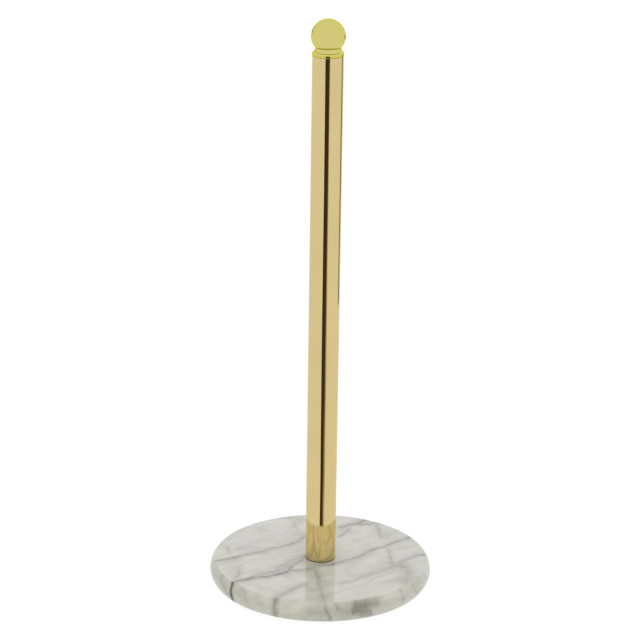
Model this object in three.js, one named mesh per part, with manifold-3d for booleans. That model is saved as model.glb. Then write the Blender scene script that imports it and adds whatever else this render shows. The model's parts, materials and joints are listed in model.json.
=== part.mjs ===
// Countertop paper towel holder: a round marble base, a brass-coloured pole and a ball finial.
// Millimetres, +Z up. The origin is on the table, under the middle of the base.
import * as THREE from 'three';
import { mergeVertices } from 'three/addons/utils/BufferGeometryUtils.js';
import Module from 'manifold-3d';

const wasm = await Module();
wasm.setup();

// Marble base
const base_diameter = 140;
const base_thickness = 13;
const base_side_radius = 9;
const base_side_steps = 6;
const base_rim_radius = 1;
const base_rim_steps = 2;
const base_hole_clearance = 0.5;
const counterbore_clearance = 1;
const counterbore_recess = 0.3;

// Foot pads
const pad_diameter = 14;
const pad_height = 2;
const pad_bevel = 0.4;
const pad_circle_diameter = 104;
const pad_count = 4;

// Pole
const pole_diameter = 19;
const pole_wall = 1;
const pole_length = 325;
const plug_fit_gap = 0.15;
const plug_chamfer = 0.5;
const bottom_plug_length = 14;
const top_plug_length = 12;

// Gasket between pole and marble
const gasket_thickness = 0.6;
const gasket_inset = 0.4;
const gasket_hole_clearance = 1;

// Finial
const ball_diameter = 20.8;
const ball_flat_drop = 6.75;
const ball_steps = 12;
const neck_top_diameter = 15.5;
const neck_bottom_diameter = 16.6;
const neck_height = 2.3;
const neck_lean = 0.15;
const neck_cove_height = 0.7;
const neck_cove_steps = 3;
const flange_diameter = 19.3;
const flange_thickness = 2.6;
const flange_bottom_edge_radius = 0.3;
const flange_top_edge_radius = 1.2;
const flange_edge_steps = 3;
const finial_hole_clearance = 0.3;
const stud_fit_gap = 0.15;

// Screw thread, shared by the base screw and the finial stud
const thread_diameter = 6;
const thread_pitch = 1;
const thread_depth_share = 0.55;
const thread_flank_share = 0.3175;
const thread_crest_share = 0.125;
const thread_radial_clearance = 0.25;
const thread_flank_clearance = 0.06;
const thread_tip_chamfer = 0.6;
const thread_runout = 0.5;
const thread_steps = 12;

// Base screw, a button head with a hexagon socket, and its washers
const screw_length = 20;
const screw_head_diameter = 10.5;
const screw_head_height = 3.3;
const screw_head_rim = 0.9;
const screw_head_flat_diameter = 6.4;
const screw_dome_steps = 4;
const screw_socket_sides = 6;
const screw_socket_width = 4;
const screw_socket_depth = 2;
const washer_diameter = 18;
const washer_thickness = 1.6;
const washer_hole_clearance = 0.2;
const spring_washer_diameter = 11.8;
const spring_washer_thickness = 1.6;
const spring_washer_slit = 1.2;
const spring_washer_slit_angle = Math.PI / 4;

// Finial stud
const stud_length = 20;
const stud_engagement = 7.5;

// How finely round shapes are faceted, and how far a cut runs past a face
const base_sides = 64;
const pole_sides = 40;
const ball_sides = 32;
const small_sides = 24;
const cut_overrun = 1;

// Heights of the stack, from the table up
const base_bottom = pad_height;
const base_top = base_bottom + base_thickness;
const pole_bottom = base_top + gasket_thickness;
const pole_top = pole_bottom + pole_length;
const flange_top = pole_top + flange_thickness;
const neck_top = flange_top + neck_height;
const ball_centre = neck_top + ball_flat_drop;
const counterbore_depth = washer_thickness + spring_washer_thickness + screw_head_height + counterbore_recess;
const counterbore_top = base_bottom + counterbore_depth;
const washer_bottom = counterbore_top - washer_thickness;
const screw_seat = washer_bottom - spring_washer_thickness;
const screw_tip = screw_seat + screw_length;
const stud_bottom = pole_top - stud_engagement;
const stud_top = stud_bottom + stud_length;

// Radii that follow from the sizes above
const base_radius = base_diameter / 2;
const pole_radius = pole_diameter / 2;
const pole_bore_radius = pole_radius - pole_wall;
const plug_radius = pole_bore_radius - plug_fit_gap;
const shank_radius = thread_diameter / 2;
const base_hole_radius = shank_radius + base_hole_clearance;
const counterbore_radius = washer_diameter / 2 + counterbore_clearance;
const finial_hole_radius = shank_radius + finial_hole_clearance;

// Finishes
const finish = {
  marble: { color: 0xd2d1cb, roughness: 0.25, metalness: 0 },
  pole_brass: { color: 0xd8c48c, roughness: 0.22, metalness: 1 },
  finial_brass: { color: 0xcfc778, roughness: 0.2, metalness: 1 },
  steel: { color: 0xb9bbbd, roughness: 0.35, metalness: 1 },
  rubber: { color: 0x2b2a28, roughness: 0.8, metalness: 0 },
};

const holder = new THREE.Group();

// Adds one named piece to the object.
function addPiece(name, geometry, look) {
  const mesh = new THREE.Mesh(geometry, new THREE.MeshStandardMaterial(look));
  mesh.name = name;
  holder.add(mesh);
  return mesh;
}

// Turns [radius, height] points about the upright axis.
function turned(points, sides) {
  const profile = points.map(([radius, height]) => new THREE.Vector2(radius, height));
  const geometry = new THREE.LatheGeometry(profile, sides);
  geometry.rotateX(Math.PI / 2);
  return geometry;
}

// Points of a circular arc, from one angle to another, measured from +X towards +Z.
function arc(centre_radius, centre_height, radius, from, to, steps) {
  const points = [];
  for (let step = 0; step <= steps; step += 1) {
    const angle = from + (to - from) * step / steps;
    points.push([centre_radius + radius * Math.cos(angle), centre_height + radius * Math.sin(angle)]);
  }
  return points;
}

// A ring with a square section, as a closed profile.
function ringProfile(inner_radius, outer_radius, bottom, top) {
  return [
    [inner_radius, bottom],
    [outer_radius, bottom],
    [outer_radius, top],
    [inner_radius, top],
    [inner_radius, bottom],
  ];
}

// A closed geometry as a solid that can be cut and joined.
function solid(geometry) {
  const bare = geometry.clone();
  bare.deleteAttribute('normal');
  bare.deleteAttribute('uv');
  const merged = mergeVertices(bare);
  return new wasm.Manifold(new wasm.Mesh({
    numProp: 3,
    vertProperties: Float32Array.from(merged.attributes.position.array),
    triVerts: Uint32Array.from(merged.index.array),
  }));
}

// A cut or joined solid back as a geometry.
function toGeometry(body) {
  const mesh = body.getMesh();
  const geometry = new THREE.BufferGeometry();
  geometry.setAttribute('position', new THREE.BufferAttribute(mesh.vertProperties, 3));
  geometry.setIndex(new THREE.BufferAttribute(mesh.triVerts, 1));
  geometry.computeVertexNormals();
  return geometry;
}

// A right-hand threaded rod from at least bottom to top. Growth widens it into the tool that cuts the nut.
function threadedRod(bottom, top, radial_growth, flank_growth) {
  const crest = thread_diameter / 2 + radial_growth;
  const root = crest - thread_depth_share * thread_pitch;
  const flank = thread_flank_share * thread_pitch;
  const crest_flat = thread_crest_share * thread_pitch + 2 * flank_growth;
  const root_flat = thread_pitch - crest_flat - 2 * flank;
  const tooth = [
    [root, -root_flat / 2],
    [root, root_flat / 2],
    [crest, root_flat / 2 + flank],
    [crest, root_flat / 2 + flank + crest_flat],
  ];
  const first_turn = Math.floor(bottom / thread_pitch) - 1;
  const last_turn = Math.ceil(top / thread_pitch) + 1;
  const rows = (last_turn - first_turn) * tooth.length;

  // The point in one column round the rod and one row up it. A full turn climbs one tooth.
  const point = (column, row) => {
    const climbed = column === thread_steps ? row + tooth.length : row;
    const angle = 2 * Math.PI * (column % thread_steps) / thread_steps;
    const turn = first_turn + Math.floor(climbed / tooth.length);
    const [radius, height] = tooth[climbed % tooth.length];
    const lead = (column % thread_steps) / thread_steps;
    return [radius * Math.cos(angle), radius * Math.sin(angle), (turn + lead) * thread_pitch + height];
  };

  const corners = [];
  for (let column = 0; column < thread_steps; column += 1) {
    for (let row = 0; row < rows; row += 1) {
      const low = point(column, row);
      const high = point(column, row + 1);
      const next_low = point(column + 1, row);
      const next_high = point(column + 1, row + 1);
      corners.push(low, next_low, next_high, low, next_high, high);
    }
  }

  // Each end is closed by a fan of triangles from the axis to the rim and the step in it.
  const closeEnd = (row, height, facing_up) => {
    const rim = [];
    for (let column = 0; column <= thread_steps; column += 1) {
      rim.push(point(column, row));
    }
    for (let step = tooth.length - 1; step > 0; step -= 1) {
      rim.push(point(0, row + step));
    }
    rim.forEach((corner, index) => {
      const next = rim[(index + 1) % rim.length];
      corners.push([0, 0, height], ...(facing_up ? [corner, next] : [next, corner]));
    });
  };
  closeEnd(0, first_turn * thread_pitch, false);
  closeEnd(rows, (last_turn + 1) * thread_pitch, true);

  const geometry = new THREE.BufferGeometry();
  geometry.setAttribute('position', new THREE.Float32BufferAttribute(corners.flat(), 3));
  return solid(geometry);
}

// The male thread between two heights, with both ends chamfered.
function maleThread(bottom, top) {
  const chamfer_reach = thread_tip_chamfer + cut_overrun;
  const envelope = turned([
    [0, bottom],
    [shank_radius - thread_tip_chamfer, bottom],
    [shank_radius + cut_overrun, bottom + chamfer_reach],
    [shank_radius + cut_overrun, top - chamfer_reach],
    [shank_radius - thread_tip_chamfer, top],
    [0, top],
  ], thread_steps);
  return threadedRod(bottom, top, 0, 0).intersect(solid(envelope));
}

// The tool that cuts a nut thread right through from one height to the other.
function nutThread(bottom, top) {
  const cutter = threadedRod(bottom, top, thread_radial_clearance, thread_flank_clearance);
  const limits = turned([
    [0, bottom - cut_overrun],
    [pole_bore_radius, bottom - cut_overrun],
    [pole_bore_radius, top + cut_overrun],
    [0, top + cut_overrun],
  ], small_sides);
  return cutter.intersect(solid(limits));
}

// Marble base: a bulging side with softened rims, a screw hole and a counterbore for the screw head.
function marbleBase() {
  const middle = (base_bottom + base_top) / 2;
  const side_centre = base_radius - base_side_radius;
  const rim_reach = base_side_radius - base_rim_radius;
  const rim_rise = base_thickness / 2 - base_rim_radius;
  const rim_angle = Math.asin(rim_rise / rim_reach);
  const rim_centre = side_centre + rim_reach * Math.cos(rim_angle);
  const side = arc(side_centre, middle, base_side_radius, -rim_angle, rim_angle, base_side_steps);
  return turned([
    [base_hole_radius, counterbore_top],
    [counterbore_radius, counterbore_top],
    [counterbore_radius, base_bottom],
    ...arc(rim_centre, middle - rim_rise, base_rim_radius, -Math.PI / 2, -rim_angle, base_rim_steps),
    ...side.slice(1, -1),
    ...arc(rim_centre, middle + rim_rise, base_rim_radius, rim_angle, Math.PI / 2, base_rim_steps),
    [base_hole_radius, base_top],
    [base_hole_radius, counterbore_top],
  ], base_sides);
}

// Foot pad: a short rubber disc with a bevelled lower rim.
function footPad() {
  const radius = pad_diameter / 2;
  return turned([
    [0, 0],
    [radius - pad_bevel, 0],
    [radius, pad_bevel],
    [radius, pad_height],
    [0, pad_height],
  ], small_sides);
}

// Plug in an end of the pole, tapped for a screw.
function tappedPlug(bottom, top) {
  const blank = turned([
    [0, bottom],
    [plug_radius - plug_chamfer, bottom],
    [plug_radius, bottom + plug_chamfer],
    [plug_radius, top - plug_chamfer],
    [plug_radius - plug_chamfer, top],
    [0, top],
  ], pole_sides);
  return toGeometry(solid(blank).subtract(nutThread(bottom, top)));
}

// Base screw: a domed head with a hexagon socket, a plain shank and a threaded tip.
function baseScrew() {
  const head_radius = screw_head_diameter / 2;
  const head_bottom = screw_seat - screw_head_height;
  const shank_top = pole_bottom - thread_runout;
  const dome = new THREE.QuadraticBezierCurve(
    new THREE.Vector2(screw_head_flat_diameter / 2, head_bottom),
    new THREE.Vector2(head_radius, head_bottom),
    new THREE.Vector2(head_radius, screw_seat - screw_head_rim),
  );
  const head = turned([
    [0, head_bottom],
    ...dome.getPoints(screw_dome_steps).map((spot) => [spot.x, spot.y]),
    [head_radius, screw_seat],
    [shank_radius, screw_seat],
    [shank_radius, shank_top],
    [0, shank_top],
  ], small_sides);
  const socket = new THREE.CylinderGeometry(
    screw_socket_width / Math.sqrt(3),
    screw_socket_width / Math.sqrt(3),
    screw_socket_depth + cut_overrun,
    screw_socket_sides,
  );
  socket.rotateX(Math.PI / 2);
  socket.translate(0, 0, head_bottom + (screw_socket_depth - cut_overrun) / 2);
  const thread = maleThread(shank_top - thread_pitch, screw_tip);
  return toGeometry(solid(head).subtract(solid(socket)).add(thread));
}

// Spring washer: a ring cut through by one slanted slit.
function springWasher() {
  const ring = turned(ringProfile(
    shank_radius + washer_hole_clearance,
    spring_washer_diameter / 2,
    screw_seat,
    washer_bottom,
  ), small_sides);
  const slit = new THREE.BoxGeometry(spring_washer_diameter, spring_washer_slit, spring_washer_diameter);
  slit.rotateX(spring_washer_slit_angle);
  slit.translate(spring_washer_diameter / 2, 0, (screw_seat + washer_bottom) / 2);
  return toGeometry(solid(ring).subtract(solid(slit)));
}

// Finial flange: a disc that caps the pole, with its lower rim softened and its upper rim round.
function finialFlange() {
  const radius = flange_diameter / 2;
  const bottom_centre = pole_top + flange_bottom_edge_radius;
  const top_centre = flange_top - flange_top_edge_radius;
  return turned([
    [finial_hole_radius, pole_top],
    ...arc(radius - flange_bottom_edge_radius, bottom_centre, flange_bottom_edge_radius,
      -Math.PI / 2, 0, flange_edge_steps),
    ...arc(radius - flange_top_edge_radius, top_centre, flange_top_edge_radius,
      0, Math.PI / 2, flange_edge_steps),
    [finial_hole_radius, flange_top],
    [finial_hole_radius, pole_top],
  ], pole_sides);
}

// Finial neck: a short collar whose side leans in and flares to the flange.
function finialNeck() {
  const top_radius = neck_top_diameter / 2;
  const side = new THREE.QuadraticBezierCurve(
    new THREE.Vector2(neck_bottom_diameter / 2, flange_top),
    new THREE.Vector2(top_radius + neck_lean, flange_top + neck_cove_height),
    new THREE.Vector2(top_radius, neck_top),
  );
  return turned([
    [finial_hole_radius, flange_top],
    ...side.getPoints(neck_cove_steps).map((spot) => [spot.x, spot.y]),
    [finial_hole_radius, neck_top],
    [finial_hole_radius, flange_top],
  ], pole_sides);
}

// Finial ball: a sphere cut flat underneath, with a blind hole for the stud.
function finialBall() {
  const radius = ball_diameter / 2;
  const hole_radius = shank_radius + stud_fit_gap;
  return turned([
    [0, stud_top],
    [hole_radius, stud_top],
    [hole_radius, neck_top],
    ...arc(0, ball_centre, radius, -Math.asin(ball_flat_drop / radius), Math.PI / 2, ball_steps),
  ], ball_sides);
}

// Finial stud: threaded where it enters the pole, plain above.
function finialStud() {
  const shank_bottom = pole_top + thread_runout;
  const shank = turned([
    [0, shank_bottom],
    [shank_radius, shank_bottom],
    [shank_radius, stud_top],
    [0, stud_top],
  ], thread_steps);
  return toGeometry(solid(shank).add(maleThread(stud_bottom, shank_bottom + thread_pitch)));
}

addPiece('marble_base', marbleBase(), finish.marble);
for (let pad = 0; pad < pad_count; pad += 1) {
  const angle = 2 * Math.PI * (pad + 0.5) / pad_count;
  const piece = addPiece(`foot_pad_${pad + 1}`, footPad(), finish.rubber);
  piece.position.set(Math.cos(angle) * pad_circle_diameter / 2, Math.sin(angle) * pad_circle_diameter / 2, 0);
}

addPiece('flat_washer', turned(ringProfile(
  shank_radius + washer_hole_clearance, washer_diameter / 2, washer_bottom, counterbore_top,
), small_sides), finish.steel);
addPiece('spring_washer', springWasher(), finish.steel);
addPiece('base_screw', baseScrew(), finish.steel);

addPiece('pole_gasket', turned(ringProfile(
  shank_radius + gasket_hole_clearance, pole_radius - gasket_inset, base_top, pole_bottom,
), pole_sides), finish.rubber);
addPiece('pole_tube', turned(ringProfile(pole_bore_radius, pole_radius, pole_bottom, pole_top), pole_sides),
  finish.pole_brass);
addPiece('pole_bottom_plug', tappedPlug(pole_bottom, pole_bottom + bottom_plug_length), finish.steel);
addPiece('pole_top_plug', tappedPlug(pole_top - top_plug_length, pole_top), finish.steel);

addPiece('finial_flange', finialFlange(), finish.finial_brass);
addPiece('finial_neck', finialNeck(), finish.finial_brass);
addPiece('finial_ball', finialBall(), finish.finial_brass);
addPiece('finial_stud', finialStud(), finish.steel);

export default holder;
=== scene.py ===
# %% [markdown]
# # Paper towel holder
# On the bench this holder comes apart into a polished marble disc, a light gold plated tube
# and a ball finial. The measured model already holds every piece at its real size, in plain
# facets. This file gives each piece its smooth shape and its finish, and sets the studio.
# Each step explains what it makes first, then makes it.

# %% Load the measured model
import json
import math

import bmesh
import bpy
from mathutils import Matrix, Vector


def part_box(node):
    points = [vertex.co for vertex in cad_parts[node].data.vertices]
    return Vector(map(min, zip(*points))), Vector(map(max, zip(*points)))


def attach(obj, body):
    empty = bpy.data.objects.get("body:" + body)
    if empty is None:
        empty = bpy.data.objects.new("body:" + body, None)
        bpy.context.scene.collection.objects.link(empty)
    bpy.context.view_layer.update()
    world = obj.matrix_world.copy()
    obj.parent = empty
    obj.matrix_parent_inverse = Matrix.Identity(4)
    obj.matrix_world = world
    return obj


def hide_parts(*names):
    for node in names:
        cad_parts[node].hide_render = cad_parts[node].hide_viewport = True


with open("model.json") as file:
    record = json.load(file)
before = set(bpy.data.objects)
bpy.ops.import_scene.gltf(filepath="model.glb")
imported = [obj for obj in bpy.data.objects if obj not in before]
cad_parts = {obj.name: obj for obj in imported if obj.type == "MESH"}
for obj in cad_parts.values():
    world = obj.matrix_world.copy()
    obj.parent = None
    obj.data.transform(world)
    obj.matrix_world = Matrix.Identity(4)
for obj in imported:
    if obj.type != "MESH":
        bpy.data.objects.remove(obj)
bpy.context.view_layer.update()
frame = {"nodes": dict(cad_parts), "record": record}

# %% [markdown]
# ## Sizes
# Heights and radii are read from the measured model, so every smooth piece lands exactly where
# its plain twin is. Only the sizes that a box can't tell, such as the radius of a rounded edge,
# are written here, in metres.

# %% Read heights and radii from the model
MM = 0.001


def heights_of(node):
    low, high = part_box(node)
    return low.z, high.z


def radius_of(node):
    low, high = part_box(node)
    return (high.x - low.x) / 2


base_bottom, base_top = heights_of("marble_base")
pole_bottom, pole_top = heights_of("pole_tube")
flange_bottom, flange_top = heights_of("finial_flange")
neck_bottom, neck_top = heights_of("finial_neck")
stud_bottom, stud_top = heights_of("finial_stud")
screw_bottom, screw_tip = heights_of("base_screw")
washer_bottom, washer_top = heights_of("flat_washer")
spring_bottom, spring_top = heights_of("spring_washer")
base_radius = radius_of("marble_base")
pole_radius = radius_of("pole_tube")
ball_radius = radius_of("finial_ball")
ball_centre = heights_of("finial_ball")[1] - ball_radius
shank_radius = radius_of("finial_stud")
print("base radius", round(base_radius, 4), "pole radius", round(pole_radius, 4))

# %% [markdown]
# Rounded edges, walls and bores don't show in a piece's box. They could be measured from the
# plain twins' points, but a maker would look them up on the drawing, so they are named here.

# %% Sizes a box can't tell
base_side_radius = 9 * MM
base_rim_radius = 1 * MM
base_hole_radius = shank_radius + 0.5 * MM
counterbore_radius = radius_of("flat_washer") + 1 * MM
pole_wall = 1 * MM
neck_top_radius = 7.75 * MM
flange_top_edge = 1.2 * MM
flange_bottom_edge = 0.5 * MM
finial_hole_radius = shank_radius + 0.3 * MM
gasket_hole_radius = shank_radius + 1 * MM
thread_pitch = 1 * MM
round_sides = 128
small_sides = 96

# %% [markdown]
# ## Camera
# The camera is solved from the photograph's outlines: a long lens at nearly twice the holder's
# height, tipped down by about nineteen degrees and rolled by less than one. Its aim is built
# from its three angles, so no target object is needed.

# %% Place the camera
focal_pixels = 2450
frame_pixels = 640
camera_distance = 1.42793
camera_height = base_top + 0.64803
camera_pitch = 0.32973
camera_yaw = -0.00171
camera_roll = 0.01496

level_right = Vector((math.cos(camera_yaw), -math.sin(camera_yaw), 0))
forward = Vector((
    math.cos(camera_pitch) * math.sin(camera_yaw),
    math.cos(camera_pitch) * math.cos(camera_yaw),
    -math.sin(camera_pitch),
))
level_up = level_right.cross(forward)
right = level_right * math.cos(camera_roll) + level_up * math.sin(camera_roll)
up = level_up * math.cos(camera_roll) - level_right * math.sin(camera_roll)

lens_data = bpy.data.cameras.new("photo_camera")
lens_data.sensor_width = 36
lens_data.lens = focal_pixels * lens_data.sensor_width / frame_pixels
camera = bpy.data.objects.new("photo_camera", lens_data)
camera.matrix_world = Matrix((
    (right.x, up.x, -forward.x, 0),
    (right.y, up.y, -forward.y, -camera_distance),
    (right.z, up.z, -forward.z, camera_height),
    (0, 0, 0, 1),
))
bpy.context.scene.collection.objects.link(camera)
bpy.context.scene.camera = camera
print("lens", round(lens_data.lens, 1), "mm")

# %% [markdown]
# ## Node helpers
# Materials are small graphs. A few helpers keep their code short: they add a node and set its
# values by name, feed a socket from a link or a plain value, and start a material with its
# Principled shader or with none.

# %% Helpers for shader graphs
def add_node(tree, kind, values=(), **settings):
    """Adds a node, sets its properties, then its input values by name or number."""
    node = tree.nodes.new(kind)
    for name, value in settings.items():
        setattr(node, name, value)
    for name, value in dict(values).items():
        node.inputs[name].default_value = value
    return node


def feed(tree, socket, value):
    """Links a socket to another one or gives it a plain value. None leaves it alone."""
    if isinstance(value, bpy.types.NodeSocket):
        tree.links.new(value, socket)
    elif value is not None:
        socket.default_value = value


def math_node(tree, operation, first, second=None, clamp=False):
    """A Math node whose inputs are links or plain numbers. Returns its output."""
    node = add_node(tree, "ShaderNodeMath", operation=operation, use_clamp=clamp)
    feed(tree, node.inputs[0], first)
    feed(tree, node.inputs[1], second)
    return node.outputs[0]


def vector_node(tree, operation, first, second=None, scale=None):
    """A Vector Math node whose inputs are links or plain vectors. Returns the node."""
    node = add_node(tree, "ShaderNodeVectorMath", operation=operation)
    feed(tree, node.inputs[0], first)
    feed(tree, node.inputs[1], second)
    if scale is not None:
        feed(tree, node.inputs["Scale"], scale)
    return node


def blend_colour(tree, share, first, second, blend_type="MIX"):
    """Mixes two colours by a share. Each is a link or a plain value. Returns the result."""
    mixer = add_node(tree, "ShaderNodeMix", data_type="RGBA", blend_type=blend_type)
    feed(tree, mixer.inputs["Factor"], share)
    feed(tree, mixer.inputs["A"], first)
    feed(tree, mixer.inputs["B"], second)
    return mixer.outputs["Result"]


def spread(tree, value, low, high, to_low=0.0, to_high=1.0, **settings):
    """Maps a range of a linked value to another range."""
    stretch = add_node(tree, "ShaderNodeMapRange", {"To Min": to_low, "To Max": to_high}, **settings)
    feed(tree, stretch.inputs["Value"], value)
    feed(tree, stretch.inputs["From Min"], low)
    feed(tree, stretch.inputs["From Max"], high)
    return stretch.outputs["Result"]


def seen_in_mirror(tree):
    """One where a ray has passed a mirror before it meets the surface, else zero."""
    mirrors_passed = tree.nodes.new("ShaderNodeLightPath").outputs["Glossy Depth"]
    return math_node(tree, "GREATER_THAN", mirrors_passed, 0.5)


def new_material(name):
    """A material with a Principled shader, its tree and its Object coordinates."""
    material = bpy.data.materials.new(name)
    material.use_nodes = True
    tree = material.node_tree
    shader = tree.nodes["Principled BSDF"]
    coordinates = tree.nodes.new("ShaderNodeTexCoord").outputs["Object"]
    return material, tree, shader, coordinates


def bare_material(name):
    """A material without its Principled shader, its tree and the socket for its surface."""
    material, tree, shader, _ = new_material(name)
    tree.nodes.remove(shader)
    return material, tree, tree.nodes["Material Output"].inputs["Surface"]


def add_shaders(tree, first, second):
    """Adds two shader sockets up. Returns the sum."""
    total = tree.nodes.new("ShaderNodeAddShader")
    tree.links.new(first, total.inputs[0])
    tree.links.new(second, total.inputs[1])
    return total.outputs[0]


def new_group(name, inputs, outputs):
    """An empty shader node group with named sockets, and its two end nodes."""
    group = bpy.data.node_groups.new(name, "ShaderNodeTree")
    for label, kind in inputs:
        group.interface.new_socket(name=label, in_out="INPUT", socket_type=kind)
    for label, kind in outputs:
        group.interface.new_socket(name=label, in_out="OUTPUT", socket_type=kind)
    start = group.nodes.new("NodeGroupInput")
    end = group.nodes.new("NodeGroupOutput")
    return group, start.outputs, end.inputs


def use_group(tree, group, **values):
    """Places a group in a tree. Values are links or plain values, by socket name."""
    node = add_node(tree, "ShaderNodeGroup", node_tree=group)
    for name, value in values.items():
        feed(tree, node.inputs[name], value)
    return node.outputs


# %% [markdown]
# ## Studio
# The holder stood in a white tent on a white table. A big soft light overhead makes the marble's
# top a little brighter than its side, and a pale world fills the rest. The floor is a plane
# that keeps the holder's soft shadow. Seen from below it is clear, so the underside can be
# looked at.

# %% White world
scene = bpy.context.scene
scene.view_settings.view_transform = "Standard"
world_light = 0.80
top_light_watts = 5.5
top_light_size = 1.6
top_light_height = 1.7

world = bpy.data.worlds.new("white_tent")
scene.world = world
world.use_nodes = True
tent = world.node_tree
tent.nodes.clear()
path = tent.nodes.new("ShaderNodeLightPath").outputs
seen = math_node(tent, "MAXIMUM", path["Is Camera Ray"], path["Is Glossy Ray"])
seen = math_node(tent, "MAXIMUM", seen, path["Is Transmission Ray"])
lit = math_node(tent, "SUBTRACT", 1.0, world_light)
strength = math_node(tent, "MULTIPLY", seen, lit)
strength = math_node(tent, "ADD", strength, world_light)
background = add_node(tent, "ShaderNodeBackground", {"Color": (1, 1, 1, 1)})
tent.links.new(strength, background.inputs["Strength"])
tent_out = tent.nodes.new("ShaderNodeOutputWorld")
tent.links.new(background.outputs[0], tent_out.inputs["Surface"])
print("world light", world_light)

# %% [markdown]
# The tent's roof glows over the whole bench. One square area lamp does that job. Mirrors don't
# see it, because the white world already gives them a white roof.

# %% Soft light overhead
lamp_data = bpy.data.lights.new("top_softbox", "AREA")
lamp_data.energy = top_light_watts
lamp_data.size = top_light_size
lamp = bpy.data.objects.new("top_softbox", lamp_data)
lamp.location = (0, 0, top_light_height)
lamp.visible_glossy = False
scene.collection.objects.link(lamp)
print("softbox", top_light_watts, "W")

# %% [markdown]
# A white table would turn grey in its own shadow and no longer match the page around it. This
# floor is part paint and part glow: the paint keeps a faint shadow, and the glow lifts the rest
# to white. Mirrors see plain white, and it throws a little light back up on the marble's side.

# %% Floor that keeps the shadow
floor_size = 14.0
floor_paint_level = 0.85
shadow_paint_level = 0.12
floor_glow_level = 0.93
floor_bounce_level = 0.12

bpy.ops.object.select_all(action="DESELECT")
bpy.ops.mesh.primitive_plane_add(size=floor_size)
floor = bpy.context.object
floor.name = "studio_floor"
floor_material, floor_tree, floor_surface = bare_material("studio_floor")
floor_path = floor_tree.nodes.new("ShaderNodeLightPath").outputs


def mix_shaders(tree, share, first, second):
    """Mixes two shader sockets by a linked share. Returns the mixed socket."""
    mixer = tree.nodes.new("ShaderNodeMixShader")
    tree.links.new(share, mixer.inputs[0])
    tree.links.new(first, mixer.inputs[1])
    tree.links.new(second, mixer.inputs[2])
    return mixer.outputs[0]


def paint_and_glow(tree, paint_level, glow_level):
    """White paint with a glow on top. Returns the summed socket."""
    paint = add_node(tree, "ShaderNodeBsdfDiffuse", {"Color": (paint_level,) * 3 + (1,)})
    glow = add_node(tree, "ShaderNodeEmission", {"Color": (1, 1, 1, 1), "Strength": glow_level})
    return add_shaders(tree, paint.outputs[0], glow.outputs[0])


lit_floor = paint_and_glow(floor_tree, floor_paint_level, floor_bounce_level)
shown_floor = paint_and_glow(floor_tree, shadow_paint_level, floor_glow_level)
mirrored_floor = paint_and_glow(floor_tree, 0.0, 1.0)
clear_floor = floor_tree.nodes.new("ShaderNodeBsdfTransparent").outputs[0]
from_below = floor_tree.nodes.new("ShaderNodeNewGeometry").outputs["Backfacing"]
floor_look = mix_shaders(floor_tree, floor_path["Is Camera Ray"], lit_floor, shown_floor)
floor_look = mix_shaders(floor_tree, floor_path["Is Glossy Ray"], floor_look, mirrored_floor)
floor_look = mix_shaders(floor_tree, from_below, floor_look, clear_floor)
floor_tree.links.new(floor_look, floor_surface)
floor.data.materials.append(floor_material)
print("floor", floor_size, "m")

# %% [markdown]
# The pole mirrors the table in front of it, where the tent is open towards the camera. That gap
# is the dark line down the pole. Here it is a dark card just above the floor which only
# reflections can see. It widens with distance as the gap does, and its right side fades through
# brown. A second card behind the holder gives the thin brown line at the pole's right edge.
# In the photograph the ball and the neck show neither, so for everything but the pole and the
# flange the cards glow as white as the floor. Light linking keeps that glow off those two.

# %% Dark gap in the tent
gap_height = 0.5 * MM
front_gap_rows = (
    (100, -8.5, 5.5, 25.5),
    (190, -8.5, 6.0, 26.5),
    (350, -11.8, 8.0, 25.5),
    (530, -13.8, 8.5, 23.0),
    (900, -14.6, 9.5, 20.5),
    (1230, -16.4, 9.5, 18.0),
    (1900, -20.0, 10.0, 18.0),
)
front_gap_colours = (
    (0.50, (0.055, 0.044, 0.045, 1)),
    (0.64, (0.14, 0.085, 0.06, 1)),
    (0.80, (0.50, 0.40, 0.22, 1)),
    (1.00, (0.95, 0.93, 0.88, 1)),
)
back_gap_rows = (
    (560, 120.0, 128.0, 142.0),
    (900, 120.0, 128.0, 142.0),
    (1230, 120.0, 128.0, 142.0),
    (1900, 120.0, 128.0, 142.0),
)
back_gap_colours = (
    (0.00, (0.88, 0.78, 0.66, 1)),
    (0.40, (0.30, 0.16, 0.06, 1)),
    (0.72, (0.30, 0.16, 0.06, 1)),
    (1.00, (0.92, 0.86, 0.78, 1)),
)


def mirrors_only(card, name):
    """Names a card of the studio and hides it from all but reflections."""
    card.name = name
    card.visible_camera = False
    card.visible_diffuse = False
    card.visible_shadow = False
    card.visible_transmission = False
    return card


def floor_card(name, rows):
    """A flat card just above the floor. Each row is a distance from the pole and three bearings."""
    bpy.ops.object.select_all(action="DESELECT")
    bpy.ops.mesh.primitive_grid_add(x_subdivisions=2, y_subdivisions=len(rows) - 1, size=1)
    card = mirrors_only(bpy.context.object, name)
    ordered = sorted(card.data.vertices, key=lambda vertex: (round(vertex.co.y, 4), vertex.co.x))
    for number, (reach, *bearings) in enumerate(sorted(rows, reverse=True)):
        for vertex, bearing in zip(ordered[3 * number: 3 * number + 3], bearings):
            turn = math.radians(bearing)
            vertex.co = (reach * MM * math.sin(turn), -reach * MM * math.cos(turn), gap_height)
    return card


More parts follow.
